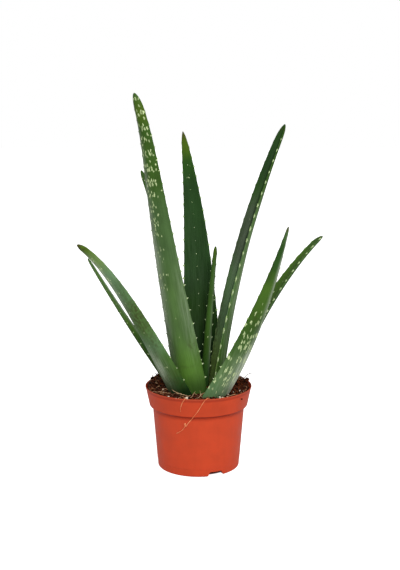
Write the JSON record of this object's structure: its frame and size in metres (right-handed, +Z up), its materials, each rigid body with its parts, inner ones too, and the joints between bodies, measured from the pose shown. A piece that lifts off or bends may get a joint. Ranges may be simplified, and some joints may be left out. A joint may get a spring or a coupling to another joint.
{
  "type": "potted aloe plant",
  "caption": "Live aloe plant: a rosette of long fleshy toothed leaves growing from soil in a round plastic nursery pot that stands on a flat surface.",
  "frame": {"origin": "centre of the pot's underside, on the surface that the pot stands on", "axes": "+Z up along the pot's axis; -Y towards the viewer of the picture; +X to the viewer's right"},
  "size_m": [0.2742, 0.1507, 0.4169],
  "materials": {
    "pot_plastic": "satin",
    "potting_mix": "matte",
    "stem_tissue": "matte",
    "leaf_skin": "satin"
  },
  "bodies": {
    "root": {"pot": "pot_plastic", "soil": "potting_mix", "stem": "stem_tissue", "leaf_young": "leaf_skin", "leaf_wide_back": "leaf_skin", "leaf_tall_behind": "leaf_skin", "leaf_right_long": "leaf_skin", "leaf_tall_front": "leaf_skin", "leaf_right_back": "leaf_skin", "leaf_left_back": "leaf_skin", "leaf_left_front": "leaf_skin", "leaf_right_front": "leaf_skin"}
  },
  "joints": []
}
